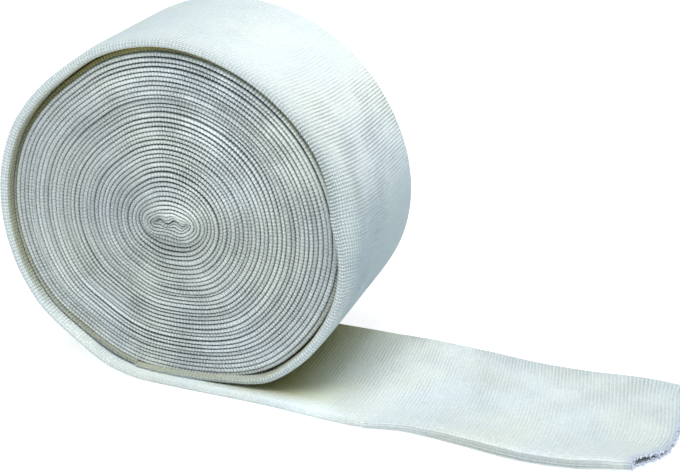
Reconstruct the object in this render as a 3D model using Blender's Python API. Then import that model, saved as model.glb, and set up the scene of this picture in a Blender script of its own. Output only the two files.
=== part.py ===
"""Tubular compression bandage: a soft roll of flattened knitted tube with its free end lying out.

The tube is one length of cloth, so the part is one solid. Two forms make it up: the wound turns,
which a drum with a ridged face stands for, and the flattened tube of the last turn, which runs
under the roll and on along the floor to its open end. A union joins them. A groove is left at
both faces between the last turn and the turns inside it, as the loose last turn leaves one.

The roll's axis lies along Y, the free end points to +X, and the floor is at z = 0. The origin is
on the floor under the roll's axis. Sizes are in millimetres.
"""

import math
from collections import namedtuple

import bmesh
import bpy

MM = 0.001

# Driving dimensions of the tube and the roll
FLAT_WIDTH = 75.0
ROLL_RADIUS = 75.8
CENTRE_HEIGHT = 68.4
EDGE_THICKNESS = 4.8
STRIP_THICKNESS = 2.4

# How the soft outline eases into its flat spot, for the last turn and for the turns inside it
STRIP_BLEND = 5.0
INNER_BLEND = 16.0

# The groove between the last turn and the turns inside it
GROOVE_WIDTH = 1.8
GROOVE_DEPTH = 8.0
OVERLAP = 1.2
INNER_FLOOR = 3.0

# The last turn goes under the strip again between these sweep angles, in degrees
TUCK_FROM = 310.0
TUCK_TO = 380.0
TUCK_DROP = 14.0
TUCK_END = 392.0

# The wound face: how far it lies inside the edge, its ridges and its collapsed core
FACE_INSET = 2.2
RIDGE_PITCH = 7.4
RIDGE_HEIGHT = 0.9
RIDGES_FROM = 14.0
CORE_REACH = 9.5
CORE_WIDEN = 6.0
CORE_FLATTEN = 0.3
CORE_DENT = 1.6
CORE_DEPTH = 3.2

# Mesh steps
DRUM_STEPS = 48
TURN_STEPS = 60
RINGS_IN_A_RIDGE = 4
EDGE_STEPS = 3
SECTION_SPACING = 4.5
SECTION_SHARES = (0.0, 0.12, 0.3, 0.5, 0.7, 0.88, 1.0)

# How far each puffed edge spreads over the tube, as a share of its width
NEAR_BEAD_SPREAD = 0.17
FAR_BEAD_SPREAD = 0.12

# The open end
MOUTH_DEPTH = 8.0
MOUTH_WALL = 1.0

# Both tables share these columns. The place is x on the free end and the sweep in degrees on the
# turn. Then come the two edges in y, the thickness at each and between them, and the lift.
Row = namedtuple("Row", "place near_edge far_edge near_bead middle far_bead lift")

# The free end, one row for each section along it
FREE_END_TABLE = (
    (198.0, -27.0, 17.0, 4.2, 3.4, 3.2, 2.4),
    (196.5, -34.5, 22.5, 4.8, 3.4, 3.4, 2.1),
    (191.5, -41.5, 26.2, 5.6, 3.2, 3.4, 1.4),
    (183.5, -46.8, 27.2, 5.8, 3.0, 3.2, 0.7),
    (172.0, -49.2, 26.2, 5.6, 2.8, 3.0, 0.2),
    (161.0, -50.9, 25.2, 5.4, 3.0, 3.0, 0.0),
    (148.0, -51.8, 25.0, 5.6, 3.2, 3.0, 0.0),
    (136.0, -50.8, 25.6, 5.8, 2.8, 3.0, 0.0),
    (122.0, -48.4, 28.0, 5.4, 2.8, 2.8, 0.0),
    (109.0, -46.4, 29.4, 4.6, 3.4, 3.0, 0.0),
    (98.0, -45.6, 30.4, 3.8, 2.6, 3.2, 0.0),
    (86.0, -47.6, 31.4, 3.2, 2.2, 3.0, 0.0),
    (74.0, -47.4, 31.6, 2.8, 2.4, 2.8, 0.0),
    (60.0, -46.0, 32.4, 2.6, 2.4, 2.6, 0.0),
    (45.0, -44.4, 33.2, 2.4, 2.4, 2.4, 0.0),
    (30.0, -43.6, 34.0, 2.4, 2.4, 2.4, 0.0),
    (15.0, -43.2, 34.6, 2.4, 2.4, 2.4, 0.0),
)

# The last turn round the roll, one row for each stretch of its sweep
TURN_TABLE = (
    (0.0, -42.6, 35.2, 2.4, 2.4, 2.4, 0.0),
    (14.0, -42.0, 35.6, 2.6, 2.6, 2.6, 0.0),
    (32.0, -40.4, 36.2, 3.6, 3.6, 3.6, 0.0),
    (60.0, -39.0, 37.0, 4.8, 4.8, 4.8, 0.0),
    (100.0, -37.8, 37.5, 4.8, 4.8, 4.8, 0.0),
    (180.0, -37.5, 37.5, 4.6, 4.8, 4.8, 0.0),
    (250.0, -37.5, 37.5, 4.8, 4.8, 4.8, 0.0),
    (268.0, -37.8, 37.5, 6.2, 5.2, 4.8, 0.0),
    (285.0, -37.5, 37.5, 4.8, 4.8, 4.8, 0.0),
    (330.0, -37.5, 37.5, 4.2, 4.4, 4.2, 0.0),
    (370.0, -36.4, 36.4, 3.4, 3.6, 3.4, 0.0),
    (392.0, -34.0, 34.0, 3.0, 3.2, 3.0, 0.0),
)

# How far the soft roll swells past its mean radius, or falls short of it, round the same sweep:
# at its near edge and at its far edge
Swell = namedtuple("Swell", "place near far")
SWELL_TABLE = (
    (0.0, 0.0, 0.0),
    (20.0, -1.2, -0.6),
    (30.0, -3.2, -1.4),
    (40.0, -3.4, -1.2),
    (54.0, -1.0, -0.4),
    (68.0, 0.0, 0.0),
    (90.0, 0.4, 0.0),
    (115.0, -0.2, 0.0),
    (132.0, -1.7, 0.6),
    (145.0, -2.3, 1.0),
    (158.0, -1.2, 1.0),
    (180.0, -0.1, 0.5),
    (205.0, 0.0, 0.2),
    (240.0, 0.8, 0.8),
    (270.0, 1.5, 1.8),
    (285.0, 1.2, 1.4),
    (300.0, 0.6, 0.0),
    (320.0, 0.2, -0.4),
    (360.0, 0.0, 0.0),
    (400.0, 0.0, 0.0),
)
FLAT = Swell(0.0, 0.0, 0.0)

FREE_END_ROWS = [Row(*numbers) for numbers in FREE_END_TABLE]
TURN_ROWS = [Row(*numbers) for numbers in TURN_TABLE]
SWELL_ROWS = [Swell(*numbers) for numbers in SWELL_TABLE]

KNIT_COLOUR = (0.72, 0.76, 0.74, 1.0)
KNIT_ROUGHNESS = 0.95


def clear_scene():
    for item in list(bpy.data.objects):
        bpy.data.objects.remove(item, do_unlink=True)


def knit_material():
    material = bpy.data.materials.new("elasticated_knit")
    material.use_nodes = True
    shader = material.node_tree.nodes["Principled BSDF"]
    shader.inputs["Base Color"].default_value = KNIT_COLOUR
    shader.inputs["Roughness"].default_value = KNIT_ROUGHNESS
    shader.inputs["Metallic"].default_value = 0.0
    return material


def ease(start, end, value):
    """Nothing before start, one after end, and a smooth rise between them."""
    share = min(max((value - start) / (end - start), 0.0), 1.0)
    return share * share * (3.0 - 2.0 * share)


def bump(centre, reach, value):
    """One at the centre, falling off to nothing over a few reaches."""
    return math.exp(-((value - centre) / reach) ** 2)


def resting(height, floor, blend):
    """The height of a soft outline over a floor, eased so that it has no corner."""
    meeting = max(blend - abs(height - floor), 0.0) / blend
    return max(height, floor) + meeting * meeting * blend / 4.0


def row_at(rows, place):
    """The row of a table at a place between its rows, read along a smooth curve."""
    rows = sorted(rows)
    last = len(rows) - 2
    index = min(max(sum(row.place <= place for row in rows) - 1, 0), last)
    start = rows[index]
    end = rows[index + 1]
    before = rows[max(index - 1, 0)]
    after = rows[min(index + 2, last + 1)]
    share = (place - start.place) / (end.place - start.place)
    values = [place]
    for column in range(1, len(start)):
        leave = (end[column] - before[column]) / 2.0
        arrive = (after[column] - start[column]) / 2.0
        values.append(hermite(start[column], end[column], leave, arrive, share))
    return type(start)(*values)


def hermite(start, end, leave, arrive, share):
    square = share * share
    cube = square * share
    from_ends = start * (2.0 * cube - 3.0 * square + 1.0) + end * (3.0 * square - 2.0 * cube)
    from_slopes = leave * (cube - 2.0 * square + share) + arrive * (cube - square)
    return from_ends + from_slopes


def swell_across(swell, across):
    """The swell at a place across the width, which eases from the near edge's to the far one's."""
    return swell.near + (swell.far - swell.near) * ease(-FLAT_WIDTH / 2.0, FLAT_WIDTH / 2.0, across)


def turn_point(sweep):
    """The outer surface of the last turn: 0 under the axis, 90 at the left, 180 at the top."""
    angle = math.radians(270.0 - sweep)
    radius = ROLL_RADIUS - TUCK_DROP * ease(TUCK_FROM, TUCK_TO, sweep)
    floor = STRIP_THICKNESS * ease(270.0, 330.0, sweep)
    height = resting(CENTRE_HEIGHT + radius * math.sin(angle), floor, STRIP_BLEND)
    return radius * math.cos(angle), height


def tube_path():
    """Sections from the free end to the tucked end: a point of the outer side, a row, a swell."""
    rows = []
    for row, following in zip(FREE_END_ROWS, FREE_END_ROWS[1:]):
        rows.append(row)
        if row.place - following.place > SECTION_SPACING:
            rows.append(row_at(FREE_END_ROWS, (row.place + following.place) / 2.0))
    rows.append(FREE_END_ROWS[-1])
    sections = [((row.place, row.lift), row, FLAT) for row in rows]
    for step in range(TURN_STEPS + 1):
        sweep = TUCK_END * step / TURN_STEPS
        sections.append((turn_point(sweep), row_at(TURN_ROWS, sweep), row_at(SWELL_ROWS, sweep)))
    return sections


def section_loop(row, inset):
    """One closed section of the flattened tube as (across, depth) points.

    Depth is 0 on the outer side, which is the lower side of the free end. The loop runs along
    the outer side to the far edge, round it, back along the inner side and round the near edge.
    """
    near_half = row.near_bead / 2.0
    far_half = row.far_bead / 2.0
    start = row.near_edge + near_half
    end = row.far_edge - far_half
    loop = []
    for share in SECTION_SHARES:
        across = start + (end - start) * share
        loop.append((across, inset))
    for step in range(1, EDGE_STEPS):
        angle = math.pi * step / EDGE_STEPS
        across = end + (far_half - inset) * math.sin(angle)
        loop.append((across, far_half - (far_half - inset) * math.cos(angle)))
    for share in reversed(SECTION_SHARES):
        across = start + (end - start) * share
        depth = row.middle
        depth += (row.near_bead - row.middle) * bump(0.0, NEAR_BEAD_SPREAD, share)
        depth += (row.far_bead - row.middle) * bump(1.0, FAR_BEAD_SPREAD, share)
        loop.append((across, depth - inset))
    for step in range(1, EDGE_STEPS):
        angle = math.pi * step / EDGE_STEPS
        across = start - (near_half - inset) * math.sin(angle)
        loop.append((across, near_half + (near_half - inset) * math.cos(angle)))
    return loop


def add_ring(mesh, point, inward, loop, swell):
    """Place a section's points in the part's frame and add them as vertices."""
    ring = []
    for across, depth in loop:
        along = depth - swell_across(swell, across)
        x = point[0] + inward[0] * along
        z = point[1] + inward[1] * along
        ring.append(mesh.verts.new((x * MM, across * MM, max(z, 0.0) * MM)))
    return ring


def bridge(mesh, first, second):
    """Join two rings of the same length with quads."""
    count = len(first)
    for index in range(count):
        after = (index + 1) % count
        mesh.faces.new((first[index], first[after], second[after], second[index]))


def finish_mesh(mesh, name, material):
    bmesh.ops.recalc_face_normals(mesh, faces=mesh.faces)
    data = bpy.data.meshes.new(name)
    mesh.to_mesh(data)
    mesh.free()
    data.materials.append(material)
    thing = bpy.data.objects.new(name, data)
    bpy.context.collection.objects.link(thing)
    return thing


def last_turn(material):
    """The flattened tube from its open end, under the roll and once round it."""
    sections = tube_path()
    mesh = bmesh.new()
    rings = []
    for index, (point, row, swell) in enumerate(sections):
        before = sections[max(index - 1, 0)][0]
        after = sections[min(index + 1, len(sections) - 1)][0]
        run = math.hypot(after[0] - before[0], after[1] - before[1])
        inward = ((after[1] - before[1]) / run, -(after[0] - before[0]) / run)
        rings.append(add_ring(mesh, point, inward, section_loop(row, 0.0), swell))
    for first, second in zip(rings, rings[1:]):
        bridge(mesh, first, second)
    mesh.faces.new(list(reversed(rings[-1])))
    add_mouth(mesh, rings[0])
    return finish_mesh(mesh, "last_turn", material)


def add_mouth(mesh, rim):
    """Open the free end: a flat pocket between the tube's two layers."""
    up = (0.0, 1.0)
    end = FREE_END_ROWS[0]
    back = row_at(FREE_END_ROWS, end.place - MOUTH_DEPTH)
    lip = add_ring(mesh, (end.place, end.lift), up, section_loop(end, MOUTH_WALL), FLAT)
    pocket = add_ring(mesh, (back.place, back.lift), up, section_loop(back, MOUTH_WALL), FLAT)
    bridge(mesh, rim, lip)
    bridge(mesh, lip, pocket)
    mesh.faces.new(pocket)


def drum_outline(angle, inset, y):
    """A point of the inner turns' outline about the roll's axis, inset from the last turn."""
    sweep = (270.0 - math.degrees(angle)) % 360.0
    radius = ROLL_RADIUS + swell_across(row_at(SWELL_ROWS, sweep), y) - EDGE_THICKNESS - inset
    floor = INNER_FLOOR + inset - GROOVE_WIDTH
    height = resting(CENTRE_HEIGHT + radius * math.sin(angle), floor, INNER_BLEND)
    return radius * math.cos(angle), height - CENTRE_HEIGHT


def face_point(nominal, angle, y):
    """A point of the wound face: round outside, squashed flat towards the core."""
    reach = ROLL_RADIUS - EDGE_THICKNESS - GROOVE_WIDTH
    x, z = drum_outline(angle, GROOVE_WIDTH, y)
    share = nominal / reach
    wide = (nominal + CORE_WIDEN * math.exp(-nominal / CORE_REACH)) / nominal
    flat = 1.0 - CORE_FLATTEN * math.exp(-(nominal / (1.5 * CORE_REACH)) ** 2)
    below = bump(-100.0, 22.0, math.degrees(math.atan2(math.sin(angle), math.cos(angle))))
    dent = CORE_DENT * below * bump(7.0, 4.0, nominal)
    return x * share * wide, z * share * flat + dent


def face_relief(nominal, angle):
    """How far a point of the wound face lies inside the face's outermost plane."""
    degrees = math.degrees(angle) % 360.0
    ridge = abs(math.sin(math.pi * (nominal - RIDGES_FROM) / RIDGE_PITCH))
    relief = RIDGE_HEIGHT * (1.0 - ridge) * ease(RIDGES_FROM - 3.0, RIDGES_FROM, nominal)
    relief += 2.0 * bump(48.5, 5.0, nominal) * ease(5.0, 40.0, degrees) * ease(170.0, 130.0, degrees)
    relief += 1.2 * bump(38.0, 9.0, nominal) * ease(170.0, 220.0, degrees) * ease(320.0, 280.0, degrees)
    relief += CORE_DEPTH * bump(0.0, 5.0, nominal)
    return relief


def face_radii():
    """The nominal radii of the face's rings, from the rim to the core."""
    reach = ROLL_RADIUS - EDGE_THICKNESS - GROOVE_WIDTH
    step = RIDGE_PITCH / RINGS_IN_A_RIDGE
    radii = []
    radius = RIDGES_FROM + step * math.floor((reach - 1.5 - RIDGES_FROM) / step)
    while radius > RIDGES_FROM + step / 2.0:
        radii.append(radius)
        radius -= step
    return radii + [14.0, 11.5, 9.0, 6.5, 4.0, 1.6]


def face_rings(side):
    """Rings of points over one wound face, where side is -1 at the camera's face and 1 behind."""
    plane = side * (FLAT_WIDTH / 2.0 - FACE_INSET)
    rings = []
    for nominal in face_radii():
        ring = []
        for step in range(DRUM_STEPS):
            angle = 2.0 * math.pi * step / DRUM_STEPS
            x, z = face_point(nominal, angle, plane)
            ring.append((x, plane - side * face_relief(nominal, angle), z))
        rings.append(ring)
    return rings


def side_ring(inset, y):
    ring = []
    for step in range(DRUM_STEPS):
        angle = 2.0 * math.pi * step / DRUM_STEPS
        x, z = drum_outline(angle, inset, y)
        ring.append((x, y, z))
    return ring


def inner_turns(material):
    """The wound turns inside the last one: two ridged faces, a groove at each and the middle."""
    edge = FLAT_WIDTH / 2.0
    near = face_rings(-1.0)
    far = face_rings(1.0)
    rings = list(reversed(near))
    for side in (-1.0, 1.0):
        rim = [
            side_ring(GROOVE_WIDTH, side * (edge - FACE_INSET - 1.2)),
            side_ring(GROOVE_WIDTH, side * (edge - GROOVE_DEPTH)),
            side_ring(-OVERLAP, side * (edge - GROOVE_DEPTH - 0.8)),
        ]
        if side > 0.0:
            rim.reverse()
        rings += rim
    rings += far
    mesh = bmesh.new()
    loops = []
    for ring in rings:
        loop = []
        for x, y, z in ring:
            loop.append(mesh.verts.new((x * MM, y * MM, (z + CENTRE_HEIGHT) * MM)))
        loops.append(loop)
    for first, second in zip(loops, loops[1:]):
        bridge(mesh, first, second)
    mesh.faces.new(list(reversed(loops[0])))
    mesh.faces.new(loops[-1])
    return finish_mesh(mesh, "inner_turns", material)


def join(first, second, name):
    """Unite two closed meshes into one solid and drop the second."""
    union = first.modifiers.new("union", "BOOLEAN")
    union.operation = "UNION"
    union.solver = "EXACT"
    union.object = second
    graph = bpy.context.evaluated_depsgraph_get()
    data = bpy.data.meshes.new_from_object(first.evaluated_get(graph))
    first.modifiers.clear()
    first.data = data
    first.name = name
    data.name = name
    bpy.data.objects.remove(second, do_unlink=True)
    data.shade_smooth()
    data.set_sharp_from_angle(angle=math.radians(40.0))
    return first


def main():
    clear_scene()
    material = knit_material()
    turn = last_turn(material)
    drum = inner_turns(material)
    join(turn, drum, "tubular_bandage")


main()
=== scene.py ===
"""Dresses the tubular compression bandage: its knitted turns, its loose end, the light and camera.

The roll is one length of knitted tube, pressed flat and wound. It is made here in the order in
which it is seen: the loose end with the last turn, then the turns inside it, then the yarn ends at
the raw cut. Tables and sizes of the tube's path are in millimetres, as a maker would note them.
"""

import math

import bmesh
import bpy
import numpy as np
from bpy.props import FloatProperty, FloatVectorProperty, IntProperty, PointerProperty
from mathutils import Matrix, Vector


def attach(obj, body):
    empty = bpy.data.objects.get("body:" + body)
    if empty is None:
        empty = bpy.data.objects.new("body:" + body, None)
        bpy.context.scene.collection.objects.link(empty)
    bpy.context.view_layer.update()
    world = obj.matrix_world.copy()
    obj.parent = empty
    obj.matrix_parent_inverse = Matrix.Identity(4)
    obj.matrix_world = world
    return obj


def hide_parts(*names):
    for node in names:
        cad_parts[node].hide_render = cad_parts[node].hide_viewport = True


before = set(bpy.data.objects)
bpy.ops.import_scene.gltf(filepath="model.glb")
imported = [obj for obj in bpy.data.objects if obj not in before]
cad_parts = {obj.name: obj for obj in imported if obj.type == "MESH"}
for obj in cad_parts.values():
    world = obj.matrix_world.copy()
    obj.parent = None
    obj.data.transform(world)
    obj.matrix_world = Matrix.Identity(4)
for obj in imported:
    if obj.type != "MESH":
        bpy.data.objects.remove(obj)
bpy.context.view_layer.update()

bl_info = {
    "name": "Tubular compression bandage",
    "version": (1, 0, 0),
    "blender": (4, 5, 0),
    "location": "3D View > Sidebar > Bandage",
    "description": "Winds a flattened knitted tube into a soft roll with a loose end",
    "category": "Object",
}

MM = 0.001
FULL_TURN = 2.0 * math.pi
CLAMPED = {"use_clamp": True}
NODE = "tubular_bandage"

# Numbers that each station of the path carries: places, sizes, what else shapes the tube there,
# and what only its finish reads
STATION_PLACES = ("near_x", "far_x", "near_y", "far_y", "near_z", "far_z", "in_x", "in_z")
STATION_SIZES = ("near_bead", "middle", "far_bead", "pleat", "near_round", "far_round", "droop")
STATION_SHAPE = ("course", "ribbing_near", "ribbing_far", "skew")
STATION_LOOK = ("pressed", "groove", "cast", "tight", "wound", "tone", "cut", "clear", "side")

# Numbers that each point of the section carries to shape the tube, and all that the finish reads
SECTION_SHAPE = (
    "share", "out", "rise", "near_part", "far_part", "fold_part", "pleat_wave", "lean",
    "near_curve", "far_curve",
)
SURFACE = (
    *STATION_LOOK, "rib", "stitch", "crease", "near_part", "line", "ribbing", "fold_part",
    "under", "rise",
)

# The roll and its tube
FLAT_WIDTH = 75.0
ROLL_RADIUS = 75.8
CENTRE_HEIGHT = 68.4
EDGE_THICKNESS = 4.8
STRIP_THICKNESS = 2.4
STRIP_BLEND = 5.0
INNER_BLEND = 16.0
INNER_FLOOR = 0.6

# The turns inside the last one
FIRST_RADIUS = 71.0
FACE_RADIUS = 69.2
LAST_RADIUS = 1.3
TURN_GAP = 0.08
THINNEST_TURN = 0.5
FACE_INSET = 1.3
UNEVEN_TURNS = 0.24
SWEEP_STEP = 2.0
JOIN_SWEEP = 375.0
FACE_SWEEP = JOIN_SWEEP + 360.0

# The collapsed core
CORE_REACH = 9.5
CORE_WIDEN = 6.0
CORE_FLATTEN = 0.3
CORE_DENT = 1.6
CORE_DEPTH = 1.4
CORE_WAVE = 0.9

# Steps of the mesh along the tube, for each rib of the knit
STATIONS_A_RIB = 4

# How far the folded edges stand out, as a share of their thickness, and the cloth's lumps a metre
WIDE_ROUNDNESS = 0.5
SLIM_ROUNDNESS = 0.32
LUMP_SCALE = 120.0

# The cut end: how far its corners are drawn back, how deep its pocket is, how thin that may get,
# and how thick each layer of cloth is
NEAR_CORNER = 13.0
FAR_CORNER = -3.0
MOUTH_DEPTH = 8.0
THINNEST_MOUTH = 0.3
CLOTH_THICKNESS = 0.95

# Loops of cut yarn: how many on a square metre, and their two radii
YARN_DENSITY = 1.5e6
LOOP_RADIUS = 0.75
YARN_RADIUS = 0.17

# Place along the loose end, its two edges in y, the thickness at the near edge, between the edges
# and at the far edge, the lift off the floor, and how deep the folded edge is pleated
LOOSE_END = (
    (199.5, -46.6, 25.4, 4.5, 2.15, 2.15, 1.8, 0.06),
    (193.0, -47.4, 26.0, 4.9, 2.2, 2.3, 1.2, 0.12),
    (183.5, -48.2, 27.0, 5.5, 2.5, 2.8, 0.5, 0.24),
    (172.0, -49.6, 26.4, 5.6, 2.8, 3.0, 0.1, 0.34),
    (161.0, -50.9, 25.2, 5.4, 3.0, 3.0, 0.0, 0.34),
    (148.0, -51.8, 25.0, 5.6, 3.2, 3.0, 0.0, 0.34),
    (136.0, -50.8, 25.6, 5.8, 2.8, 3.0, 0.0, 0.34),
    (122.0, -48.4, 28.0, 5.4, 2.8, 2.8, 0.0, 0.28),
    (109.0, -46.4, 29.4, 4.6, 3.4, 3.0, 0.0, 0.18),
    (98.0, -45.6, 30.4, 3.8, 2.6, 3.2, 0.0, 0.08),
    (86.0, -47.6, 31.4, 3.2, 2.2, 3.0, 0.0, 0.03),
    (74.0, -47.4, 31.6, 2.8, 2.4, 2.8, 0.0, 0.0),
    (60.0, -46.0, 32.4, 2.6, 2.4, 2.6, 0.0, 0.0),
    (45.0, -44.4, 33.2, 2.4, 2.4, 2.4, 0.0, 0.0),
    (30.0, -43.6, 34.0, 2.4, 2.4, 2.4, 0.0, 0.0),
    (15.0, -43.2, 34.6, 2.4, 2.4, 2.4, 0.0, 0.0),
    (0.0, -42.6, 35.2, 2.4, 2.4, 2.4, 0.0, 0.0),
)

# Painted light and shade on the loose end's yarn, by its place: lighter in the roll's shadow near
# 45 to 62 mm, darker from 84 mm on
LOOSE_END_PAINTED_LIGHT = (
    (0.0, -0.4),
    (20.0, 0.0),
    (45.0, 1.5),
    (62.0, 2.0),
    (74.0, 0.0),
    (84.0, -0.5),
    (92.0, -0.8),
    (104.0, -0.9),
    (116.0, -1.1),
    (150.0, -0.75),
    (200.0, -0.75),
)

# The last turn, by its sweep in degrees: 0 under the axis, 90 at the left, 180 at the top. Then
# its two edges in y, and its thickness at the near edge, between the edges and at the far edge
LAST_TURN = (
    (0.0, -42.6, 35.2, 2.4, 2.4, 2.4),
    (14.0, -42.0, 35.6, 2.8, 2.6, 2.6),
    (32.0, -40.4, 36.2, 4.0, 4.2, 3.6),
    (60.0, -39.0, 37.0, 4.2, 5.6, 4.8),
    (100.0, -38.2, 37.5, 4.8, 6.2, 4.8),
    (150.0, -38.2, 37.5, 4.0, 6.2, 4.8),
    (180.0, -38.3, 37.5, 3.2, 6.2, 4.8),
    (215.0, -38.9, 37.5, 2.8, 6.2, 4.8),
    (250.0, -38.9, 37.5, 2.7, 6.2, 4.8),
    (262.0, -39.2, 37.5, 2.9, 6.2, 4.8),
    (285.0, -38.5, 37.5, 3.6, 5.6, 4.8),
    (310.0, -38.2, 37.5, 4.0, 4.8, 4.4),
    (332.0, -37.9, 37.5, 3.0, 3.8, 4.0),
    (355.0, -37.8, 37.0, 2.2, 2.4, 2.6),
    (380.0, -37.4, 36.2, 1.8, 1.7, 1.8),
)

# How far the near fold of the last turn droops towards the axis, by its sweep
DROOP = (
    (0.0, 0.0),
    (110.0, 0.0),
    (150.0, 0.6),
    (180.0, 1.3),
    (210.0, 1.8),
    (240.0, 2.0),
    (252.0, 3.3),
    (261.0, 5.0),
    (270.0, 3.4),
    (285.0, 1.2),
    (305.0, 0.4),
    (330.0, 0.0),
    (380.0, 0.0),
)

# How far the soft roll swells past its mean radius at the near edge and at the far edge
SWELL = (
    (0.0, 0.0, 0.0),
    (12.0, -0.5, -0.3),
    (20.0, -2.2, -0.8),
    (30.0, -3.8, -1.4),
    (40.0, -3.6, -1.2),
    (54.0, -1.0, -0.4),
    (68.0, 0.0, 0.0),
    (90.0, 0.4, 0.0),
    (115.0, -0.2, 0.0),
    (132.0, -1.7, 0.6),
    (145.0, -2.3, 1.0),
    (158.0, -1.2, 1.0),
    (180.0, -0.1, 0.5),
    (205.0, 0.0, 0.2),
    (240.0, 0.8, 0.8),
    (270.0, 1.5, 1.8),
    (285.0, 1.2, 1.4),
    (300.0, 0.6, 0.0),
    (320.0, 0.2, -0.4),
    (360.0, 0.0, 0.0),
    (400.0, 0.0, 0.0),
)

# How much deeper the first two turns inside the last one lie, at their near and their far edge
GROOVE_RECESS = (
    (375.0, -1.2, 0.0),
    (398.0, -0.8, 0.8),
    (420.0, 0.2, 1.6),
    (450.0, 1.3, 2.2),
    (480.0, 2.2, 2.6),
    (530.0, 2.2, 2.8),
    (600.0, 1.7, 2.8),
    (640.0, 1.4, 2.6),
    (690.0, 1.0, 2.0),
    (735.0, 0.4, 1.4),
    (770.0, 0.6, 1.2),
    (850.0, 1.0, 1.0),
    (900.0, 0.7, 1.0),
    (990.0, 0.6, 1.0),
    (1020.0, 0.7, 0.9),
    (1100.0, 0.7, 0.9),
)

# Painted shade: where the outside of the last turn is painted greyer and bluer, by its sweep
PAINTED_BLUE_SHADE_BY_SWEEP = (
    (0.0, 0.15),
    (60.0, 0.3),
    (110.0, 0.4),
    (160.0, 0.55),
    (185.0, 0.3),
    (205.0, 0.0),
    (228.0, 0.0),
    (250.0, 0.4),
    (268.0, 1.05),
    (290.0, 1.15),
    (340.0, 0.8),
    (400.0, 0.6),
)

# How plainly the ribs show in their relief and their painted dip shade across the outside of the
# last turn, at its near and its far edge
OUTER_RIBBING = (
    (0.0, 0.5, 0.5),
    (150.0, 0.45, 0.35),
    (180.0, 0.4, 0.3),
    (205.0, 0.3, 0.15),
    (224.0, 0.6, 0.2),
    (234.0, 0.95, 0.6),
    (246.0, 1.15, 0.9),
    (256.0, 1.1, 0.6),
    (265.0, 0.9, 0.1),
    (280.0, 0.6, 0.0),
    (300.0, 0.5, 0.0),
    (380.0, 0.6, 0.0),
)

# How plainly beads and the painted crease shade show on the wound face by the angle round it, and
# how much lighter or darker the face is painted there, following how the light falls
FACE_CONTRAST = (
    (0.0, 0.75, 0.75, -2.3),
    (45.0, 1.15, 1.2, 0.3),
    (90.0, 1.15, 1.5, 0.5),
    (135.0, 0.5, 0.7, -2.0),
    (180.0, 0.4, 0.55, -2.45),
    (225.0, 0.7, 1.15, -1.3),
    (270.0, 0.85, 1.4, -1.0),
    (315.0, 0.6, 0.7, -1.5),
    (360.0, 0.75, 0.75, -2.3),
)

# Lighter and darker places of the wound face, the darker ones partly painted shade along its
# recessed valleys: radius, angle, their two reaches, and how much
FACE_TONES_AND_SHADE = (
    (65.0, 60.0, 7.0, 40.0, 0.9),
    (50.0, 95.0, 3.5, 45.0, -0.9),
    (43.0, 58.0, 7.0, 28.0, 1.3),
    (63.0, 95.0, 7.0, 28.0, 0.8),
    (54.0, 235.0, 3.0, 35.0, 0.9),
    (60.0, 212.0, 2.0, 30.0, 1.0),
    (60.0, 265.0, 4.0, 40.0, 0.6),
    (46.0, 240.0, 3.0, 40.0, -0.4),
    (58.0, 330.0, 9.0, 35.0, -0.3),
    (14.0, 330.0, 2.0, 60.0, -0.6),
    (10.0, 180.0, 10.0, 400.0, -0.3),
    (30.0, 250.0, 2.0, 45.0, 0.5),
)

# Where the camera stands, in metres, and the directions of its right side and of its view. Its
# lens and its sensor are in millimetres
CAMERA_PLACE = (0.2245, -0.4592, 0.2547)
CAMERA_RIGHT = (0.9404, 0.3400, 0.0)
CAMERA_FORWARD = (-0.3154, 0.8723, -0.3737)
CAMERA_LENS = 68.82
CAMERA_SENSOR = 36.0
CAMERA_NEAR = 0.01

# The directions that the two broad lights come from, and how much of the sky each one fills
KEY_COMES_FROM = (0.0, -0.33, 0.94)
KEY_WIDTH = math.radians(34.0)
SOFT_COMES_FROM = (0.45, -0.05, 0.89)
SOFT_WIDTH = math.radians(80.0)

# The light beside the camera and what it points at, in metres, and the reach of the floor
FILL_PLACE = (-0.7, -1.4, 0.7)
FILL_TARGET = (0.0, 0.0, 0.07)
FILL_SIZE = 1.2
FILL_TINT = "F4F8FF"
ROOM_TINT = "EDF4FA"
FLOOR_REACH = 3.0


def linear(hexadecimal):
    """An sRGB colour written as six hex digits, as the linear numbers that a shader takes."""
    channels = []
    for start in (0, 2, 4):
        value = int(hexadecimal[start:start + 2], 16) / 255.0
        channels.append(value / 12.92 if value <= 0.04045 else ((value + 0.055) / 1.055) ** 2.4)
    return tuple(channels)


def colour(name, description, hexadecimal):
    return FloatVectorProperty(
        name=name, description=description, subtype="COLOR", size=3, min=0.0, max=1.0,
        default=linear(hexadecimal))


def length(name, description, millimetres):
    return FloatProperty(
        name=name, description=description, default=millimetres * MM, unit="LENGTH")


def strength(name, description, default):
    return FloatProperty(name=name, description=description, default=default, min=0.0)


class KnitSizes(bpy.types.PropertyGroup):
    """Sizes of the knit and of the winding."""

    rib_pitch: length("Rib pitch", "From one rib of the knit to the next, along the tube", 1.45)
    stitch_pitch: length("Stitch pitch", "From one stitch to the next along a rib", 1.2)
    turn_pitch: length("Turn pitch", "From one wound turn to the next", 1.78)
    edge_relief: FloatProperty(
        name="Edge relief",
        description="How much thinner a folded edge is between two ribs, as a share",
        default=0.13,
        min=0.0,
        max=0.6,
        subtype="FACTOR",
    )
    edge_recess: length("Edge recess", "How far a folded edge draws back between two ribs", 0.22)
    lump: length("Lumps", "How uneven the hand of the cloth is", 0.22)
    slack: length("Slack", "How far one wound turn may stand before or behind the next", 0.32)
    seed: IntProperty(name="Seed", description="Fixes all that is uneven", default=7)


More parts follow.
